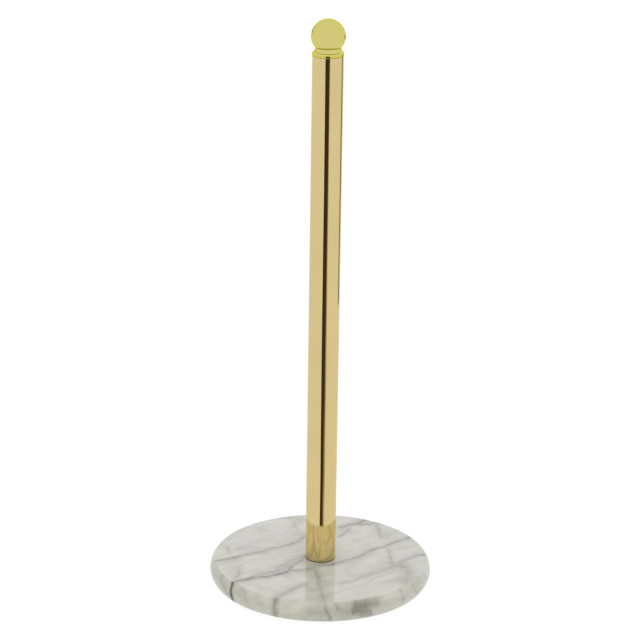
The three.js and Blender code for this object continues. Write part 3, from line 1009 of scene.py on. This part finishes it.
def marble_material():
    """White stone with the veins above, soft grey bands and a polished top."""
    material, tree, shader, coordinates = new_material("polished_marble")
    place, top_place, side_place, outward = marble_places(tree, coordinates)
    side = spread(tree, outward, rim_start, rim_end)
    fray = noise_at(tree, place, fray_scale, Detail=5.0, Roughness=0.65)["Fac"]
    fray = math_node(tree, "MULTIPLY", math_node(tree, "SUBTRACT", fray, 0.46), 2 * fray_reach)
    breaks = noise_at(tree, place, break_scale, Detail=4.0, Roughness=0.6)["Fac"]
    uneven = spread(tree, breaks, 0.35, 0.6, 0.7, 1.12)

    top = math_node(tree, "SUBTRACT", 1.0, side)
    grey = math_node(tree, "MULTIPLY", vein_mask(tree, top_veins, top_place, fray), top)
    grey_side = math_node(tree, "MULTIPLY", vein_mask(tree, side_veins, side_place, fray), side)
    grey = math_node(tree, "MULTIPLY", math_node(tree, "MAXIMUM", grey, grey_side), uneven)
    rust = math_node(tree, "MULTIPLY", vein_mask(tree, side_rust, side_place, fray), side, clamp=True)

    turned_place = add_node(tree, "ShaderNodeVectorRotate", {"Angle": -band_turn}, rotation_type="Z_AXIS")
    tree.links.new(place, turned_place.inputs["Vector"])
    bands_place = vector_node(
        tree, "MULTIPLY", turned_place.outputs["Vector"], (band_stretch, 1, 1)).outputs["Vector"]
    bands = noise_at(tree, bands_place, band_scale, Detail=5.0, Roughness=0.58, Distortion=0.6)["Fac"]
    tints = noise_at(tree, place, tint_scale, Detail=2.0, Roughness=0.5)["Fac"]
    stone = blend_colour(tree, spread(tree, bands, 0.35, 0.7), marble_white, marble_shade)
    tint = blend_colour(tree, spread(tree, tints, 0.4, 0.6), warm_tint, cool_tint)
    stone = blend_colour(tree, 1.0, stone, tint, "MULTIPLY")
    stone = blend_colour(tree, side, stone, side_warmth, "MULTIPLY")
    stone = blend_colour(tree, rust, stone, vein_rust)
    vein_colour = blend_colour(tree, side, vein_grey, vein_olive)
    stone = blend_colour(tree, spread(tree, grey, 0.0, 1.0), stone, vein_colour)
    stone = blend_colour(tree, spread(tree, grey, 1.0, 1.5), stone, vein_black)
    lifted = math_node(
        tree, "MULTIPLY", seen_in_mirror(tree),
        spread(tree, outward, lift_start, lift_end, lift_near_pole, 1.0))
    stone = blend_colour(tree, lifted, stone, mirrored_lift, "MULTIPLY")
    tree.links.new(stone, shader.inputs["Base Color"])
    tree.links.new(spread(tree, side, 0.0, 1.0, 0.1, 0.3), shader.inputs["Roughness"])
    shader.inputs["IOR"].default_value = 1.6
    return material


marble = marble_material()
print("marble nodes:", len(marble.node_tree.nodes))

# %% [markdown]
# ## Marble base
# The real disc is sawn from slab, drilled, counterbored underneath and ground on its side with
# a hollow wheel, which leaves a bulging side and a softened rim above and below it. Here the
# ring around the polished top is closed with a face and swept down along that wheel's shape.
# The screw hole and the counterbore are insets that are pushed in, as the drill would do.

# %% Shape of the grinding wheel
base_side_steps = 24
base_rim_steps = 6
base_middle = (base_bottom + base_top) / 2
rim_rise = (base_top - base_bottom) / 2 - base_rim_radius
rim_reach = base_side_radius - base_rim_radius
rim_angle = math.asin(rim_rise / rim_reach)
side_centre = base_radius - base_side_radius
rim_centre = side_centre + rim_reach * math.cos(rim_angle)


def arc_points(centre_radius, centre_height, radius, start, end, steps):
    """Points of an arc as (radius, height), from one angle above the horizon to another."""
    turns = [start + (end - start) * step / steps for step in range(steps + 1)]
    return [
        (centre_radius + radius * math.cos(turn), centre_height + radius * math.sin(turn))
        for turn in turns]


wheel = arc_points(
    rim_centre, base_middle + rim_rise, base_rim_radius, math.pi / 2, rim_angle, base_rim_steps)
wheel += arc_points(
    side_centre, base_middle, base_side_radius, rim_angle, -rim_angle, base_side_steps)[1:-1]
wheel += arc_points(
    rim_centre, base_middle - rim_rise, base_rim_radius, -rim_angle, -math.pi / 2, base_rim_steps)
print("flat top ends", round((base_radius - rim_centre) / MM, 2), "mm from the edge")

# %% [markdown]
# The ring is swept along the wheel's shape, both faces are closed, and the holes are pushed in
# from below, the wide counterbore first and the screw hole through its middle.

# %% Model the marble base
base = add_ring("marble_disc", rim_centre, base_top)
bpy.ops.mesh.edge_face_add()
pick_rim(base_top, rim_centre)
sweep_rings(wheel)
bpy.ops.mesh.edge_face_add()
close_up()
inset_to(base_bottom, -1, rim_centre, counterbore_radius)
push(washer_top - base_bottom)
bore_through(washer_top, base_top, counterbore_radius, rim_centre, base_hole_radius)
finish_piece(base, "marble_base", marble)

# %% [markdown]
# ## Foot pads
# Four moulded rubber discs hold the stone off the table. One is made with a softened lower rim
# and copied to the other three places, each copy with its own mesh.

# %% Model the foot pads
pad_sides = 48
pad_rim = 0.4 * MM
pad_nodes = sorted(name for name in frame["nodes"] if name.startswith("foot_pad"))
pad_low, pad_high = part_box(pad_nodes[0])
pad_radius = (pad_high.x - pad_low.x) / 2
pad_place = (pad_low + pad_high) / 2
bpy.ops.object.select_all(action="DESELECT")
bpy.ops.mesh.primitive_cylinder_add(
    vertices=pad_sides, radius=pad_radius, depth=pad_high.z - pad_low.z, location=pad_place)
first_pad = start_piece("rubber_pad_1")
pick_edges(lambda spot: spot.z < here)
bpy.ops.mesh.bevel(offset=pad_rim, segments=4, profile=0.5, affect="EDGES")
pick_faces(lambda centre, normal: normal.z < -flat_from)
bpy.ops.mesh.inset(thickness=pad_rim)
finish_piece(first_pad, pad_nodes[0], pad_rubber)
for number, node in enumerate(pad_nodes[1:], start=2):
    low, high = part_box(node)
    copy = bpy.data.objects.new(f"rubber_pad_{number}", first_pad.data.copy())
    scene.collection.objects.link(copy)
    copy.data.transform(Matrix.Translation((low + high) / 2 - pad_place))
    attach(copy, bodies_by_node[node])
    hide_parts(node)
print("pads:", len(pad_nodes))

# %% [markdown]
# ## Pole
# The pole is a plain drawn tube. A cylinder without caps gets its wall from a Solidify
# modifier, and its two outer rims are broken slightly, as a deburred tube's are.

# %% Model the pole
pole_top_edge = 0.15 * MM
pole_bottom_edge = 0.35 * MM
bpy.ops.object.select_all(action="DESELECT")
bpy.ops.mesh.primitive_cylinder_add(
    vertices=round_sides, radius=pole_radius, depth=pole_top - pole_bottom,
    location=(0, 0, (pole_bottom + pole_top) / 2), end_fill_type="NOTHING")
pole = start_piece("gold_pole")
bpy.ops.object.mode_set(mode="OBJECT")
wall = pole.modifiers.new("wall", "SOLIDIFY")
wall.thickness = pole_wall
wall.offset = -1
bpy.ops.object.modifier_apply(modifier=wall.name)
bpy.ops.object.mode_set(mode="EDIT")
round_rim(pole_top, pole_radius, pole_top_edge, 3)
round_rim(pole_bottom, pole_radius, pole_bottom_edge, 4)
finish_piece(pole, "pole_tube", pole_gold)

# %% [markdown]
# ## Gasket
# A thin rubber ring keeps the tube from chipping the stone. It is a little smaller than the
# tube, so it shows only as a dark line under the pole.

# %% Model the gasket
gasket_radius = radius_of("pole_gasket")
gasket_bottom, gasket_top = heights_of("pole_gasket")
gasket = add_disc("rubber_gasket", gasket_radius, gasket_bottom, gasket_top)
bore_through(gasket_bottom, gasket_top, gasket_radius, gasket_radius, gasket_hole_radius)
finish_piece(gasket, "pole_gasket", gasket_rubber)

# %% [markdown]
# ## Finial flange
# The flange caps the tube. Its upper rim is rounded and its lower rim almost sharp, which is why
# only the lower half of its edge mirrors the dark gap.

# %% Model the flange
flange_radius = radius_of("finial_flange")
flange = add_disc("finial_flange_ring", flange_radius, flange_bottom, flange_top)
round_rim(flange_top, flange_radius, flange_top_edge, 8)
round_rim(flange_bottom, flange_radius, flange_bottom_edge, 4)
bore_through(
    flange_bottom, flange_top, flange_radius - flange_bottom_edge, flange_radius - flange_top_edge,
    finial_hole_radius)
# Its plate carries a painted reflection: the lower half of the edge is a deeper yellow.
finish_piece(flange, "finial_flange", flange_gold)

# %% [markdown]
# ## Finial neck
# The neck is a short collar whose side leans in and flares at its foot. A ring of edges is
# extruded upwards and scaled step by step along that curve, then both ends are closed down to
# the hole for the stud.

# %% Model the neck
neck_bottom_radius = radius_of("finial_neck")
neck_lean = 0.15 * MM
neck_cove = 0.7 * MM
neck_steps = 10


def neck_side(share):
    """Radius and height of the neck's side, from its foot at 0 to its top at 1."""
    foot = Vector((neck_bottom_radius, neck_bottom))
    middle = Vector((neck_top_radius + neck_lean, neck_bottom + neck_cove))
    head = Vector((neck_top_radius, neck_top))
    return tuple(foot * (1 - share) ** 2 + middle * 2 * share * (1 - share) + head * share ** 2)


neck_profile = [neck_side(step / neck_steps) for step in range(neck_steps + 1)]
neck_profile += [
    (finial_hole_radius, neck_top), (finial_hole_radius, neck_bottom), (neck_bottom_radius, neck_bottom)]
neck = add_ring("finial_neck_ring", neck_bottom_radius, neck_bottom)
sweep_rings(neck_profile)
close_up()
finish_piece(neck, "finial_neck", finial_gold)

# %% [markdown]
# ## Finial ball
# The ball is turned from solid and cut flat where it meets the neck. A sphere is bisected at
# that height, the cut is filled, and the hole for the stud is pushed up into it.

# %% Model the ball
ball_sides = 128
bpy.ops.object.select_all(action="DESELECT")
bpy.ops.mesh.primitive_uv_sphere_add(
    segments=ball_sides, ring_count=ball_sides // 2, radius=ball_radius, location=(0, 0, ball_centre))
ball = start_piece("finial_ball_turned")
bpy.ops.mesh.select_all(action="SELECT")
bpy.ops.mesh.bisect(plane_co=(0, 0, neck_top), plane_no=(0, 0, 1), clear_inner=True, use_fill=True)
ball_flat_radius = math.sqrt(ball_radius ** 2 - (ball_centre - neck_top) ** 2)
inset_to(neck_top, -1, ball_flat_radius, shank_radius + here)
push(stud_top - neck_top)
finish_piece(ball, "finial_ball", finial_gold)
for viewers, mirrors in (
        (front_viewers, (pole, flange)), (back_viewers, (pole, flange)), (edge_viewers, (neck, ball))):
    for mirror in mirrors:
        viewers.objects.link(mirror)
    for entry in viewers.collection_objects:
        entry.light_linking.link_state = "EXCLUDE"

# %% [markdown]
# ## Screw threads
# The screw and the stud share one M6 thread. A tiny plane is merged to one point, which is
# extruded along one pitch of the rolled shape: a flank, a narrow crest, the other flank and
# the root. The Screw modifier winds that profile up the axis, and the rod is cut square at
# both ends.

# %% Helpers for threads
thread_root = shank_radius - 0.55 * thread_pitch
thread_flank = 0.3175 * thread_pitch
thread_crest = 0.125 * thread_pitch
thread_turn_steps = 36


def threaded_rod(name, bottom, top, growth=0.0):
    """A closed rod with the thread wound around it, grown sideways where it is to cut a nut.
    Every thread starts on a whole pitch, so that a rod and its nut run in step."""
    turns = int((top - bottom) / thread_pitch) + 4
    start = (math.floor(bottom / thread_pitch) - 1) * thread_pitch
    depth = shank_radius - thread_root
    root_flat = thread_pitch - 2 * thread_flank - thread_crest
    bpy.ops.object.select_all(action="DESELECT")
    bpy.ops.mesh.primitive_plane_add(size=here, location=(thread_root + growth, 0, start))
    rod = start_piece(name)
    bpy.ops.mesh.select_mode(type="VERT")
    bpy.ops.mesh.select_all(action="SELECT")
    bpy.ops.mesh.merge(type="CENTER")
    for outward, rise in (
            (depth, thread_flank), (0, thread_crest), (-depth, thread_flank), (0, root_flat)):
        bpy.ops.mesh.extrude_vertices_move(TRANSFORM_OT_translate={"value": (outward, 0, rise)})
    bpy.ops.object.mode_set(mode="OBJECT")
    wind = rod.modifiers.new("wind", "SCREW")
    wind.screw_offset = thread_pitch
    wind.iterations = turns
    wind.steps = wind.render_steps = thread_turn_steps
    wind.use_merge_vertices = True
    wind.merge_threshold = here / 10
    bpy.ops.object.modifier_apply(modifier=wind.name)
    bpy.ops.object.mode_set(mode="EDIT")
    bpy.ops.mesh.select_all(action="SELECT")
    bpy.ops.mesh.remove_doubles(threshold=here / 10)
    for height, above in ((bottom, False), (top, True)):
        bpy.ops.mesh.select_all(action="SELECT")
        bpy.ops.mesh.bisect(
            plane_co=(0, 0, height), plane_no=(0, 0, 1), use_fill=True,
            clear_inner=not above, clear_outer=above)
    bpy.ops.mesh.select_all(action="SELECT")
    bpy.ops.mesh.normals_make_consistent(inside=False)
    return rod


# %% [markdown]
# ## Base screw
# A button head screw comes up through the counterbore. Its head is a dome swept from the
# bearing face to the flat around the socket, and the hexagon socket is cut out of it.

# %% Model the base screw
screw_seat = spring_bottom
head_radius = radius_of("base_screw")
head_flat_radius = 3.2 * MM
head_rim = 0.9 * MM
head_sides = 64
socket_width = 4 * MM
socket_depth = 2 * MM
dome_steps = 10
shank_sunk = 0.3 * MM
dome_height = screw_seat - screw_bottom - head_rim

dome = [(head_radius, screw_seat), (head_radius, screw_seat - head_rim)]
for step in range(1, dome_steps + 1):
    turn = math.pi / 2 * step / dome_steps
    dome.append((
        head_flat_radius + (head_radius - head_flat_radius) * math.cos(turn),
        screw_seat - head_rim - dome_height * math.sin(turn)))
screw_head = add_ring("screw_head", head_radius, screw_seat, sides=head_sides)
bpy.ops.mesh.edge_face_add()
pick_rim(screw_seat, head_radius)
sweep_rings(dome)
bpy.ops.mesh.edge_face_add()
close_up()
bpy.ops.object.mode_set(mode="OBJECT")

bpy.ops.object.select_all(action="DESELECT")
bpy.ops.mesh.primitive_cylinder_add(
    vertices=6, radius=socket_width / 2 / math.cos(math.pi / 6), depth=2 * socket_depth,
    location=(0, 0, screw_bottom))
socket = start_piece("socket_cutter")
bpy.ops.object.mode_set(mode="OBJECT")
cut_away(screw_head, socket)

screw = threaded_rod("button_head_screw", screw_seat - shank_sunk, screw_tip)
bpy.ops.object.mode_set(mode="OBJECT")
screw_head.select_set(True)
screw.select_set(True)
bpy.context.view_layer.objects.active = screw
bpy.ops.object.join()
bpy.ops.object.mode_set(mode="EDIT")
finish_piece(screw, "base_screw", zinc_steel)

# %% [markdown]
# ## Washers
# A wide flat washer spreads the screw's pull over the stone, and a split spring washer keeps it
# tight. The flat one is punched, so its upper rim is rolled over. The spring one is a square
# bar bent nearly full circle, with a slanting slit.

# %% Model the flat washer
washer_radius = radius_of("flat_washer")
washer_rim = 0.25 * MM
washer_hole_radius = shank_radius + 0.2 * MM
flat_ring = add_disc("punched_washer", washer_radius, washer_bottom, washer_top)
round_rim(washer_top, washer_radius, washer_rim, 3)
bore_through(washer_bottom, washer_top, washer_radius, washer_radius - washer_rim, washer_hole_radius)
finish_piece(flat_ring, "flat_washer", zinc_steel)

# %% [markdown]
# The spring washer could be bent from a bar with the Screw modifier, but a ring with a slanting
# slit cut out by a turned block gives the same shape with clean square ends.

# %% Model the spring washer
spring_radius = radius_of("spring_washer")
spring_inner = washer_hole_radius
slit_width = 1.2 * MM
slit_turn = math.pi / 4
slit_slant = 0.35
slit_shift = 0.2
spring_rim = 0.1 * MM
middle = (0, 0, (spring_bottom + spring_top) / 2)

spring_ring = add_disc("split_washer", spring_radius, spring_bottom, spring_top, sides=small_sides)
round_rim(spring_top, spring_radius, spring_rim, 2)
round_rim(spring_bottom, spring_radius, spring_rim, 2)
bore_through(
    spring_bottom, spring_top, spring_radius - spring_rim, spring_radius - spring_rim, spring_inner)
bpy.ops.object.mode_set(mode="OBJECT")
bpy.ops.object.select_all(action="DESELECT")
bpy.ops.mesh.primitive_cube_add(
    size=1, scale=(spring_radius, slit_width, 2 * (spring_top - spring_bottom)),
    location=((spring_inner + spring_radius) / 2 + spring_inner * slit_shift, 0, middle[2]))
slit = start_piece("slit_cutter")
bpy.ops.mesh.select_all(action="SELECT")
bpy.ops.transform.rotate(value=slit_slant, orient_axis="X", center_override=middle)
bpy.ops.transform.rotate(value=-slit_turn, orient_axis="Z", center_override=middle)
bpy.ops.object.mode_set(mode="OBJECT")
cut_away(spring_ring, slit)
bpy.ops.object.mode_set(mode="EDIT")
finish_piece(spring_ring, "spring_washer", zinc_steel)

# %% [markdown]
# ## Plugs and stud
# A tapped steel plug sits in each end of the tube. The lower one takes the base screw and the
# upper one the stud, which stays in the ball. Each plug is a chamfered bar with the grown
# thread cut out of it.

# %% Model the plugs and the stud
plug_chamfer = 0.5 * MM
nut_growth = 0.25 * MM


def tapped_plug(name, node):
    """A bar with broken ends and a thread cut right through it."""
    bottom, top = heights_of(node)
    radius = radius_of(node)
    plug = add_disc(name, radius, bottom, top, sides=small_sides)
    round_rim(bottom, radius, plug_chamfer, 1)
    round_rim(top, radius, plug_chamfer, 1)
    bpy.ops.object.mode_set(mode="OBJECT")
    tap = threaded_rod(f"{name}_tap", bottom - thread_pitch, top + thread_pitch, nut_growth)
    bpy.ops.object.mode_set(mode="OBJECT")
    cut_away(plug, tap)
    bpy.ops.object.mode_set(mode="EDIT")
    return finish_piece(plug, node, zinc_steel)


tapped_plug("lower_plug", "pole_bottom_plug")
tapped_plug("upper_plug", "pole_top_plug")
stud = threaded_rod("finial_stud_rod", stud_bottom, stud_top)
finish_piece(stud, "finial_stud", zinc_steel)
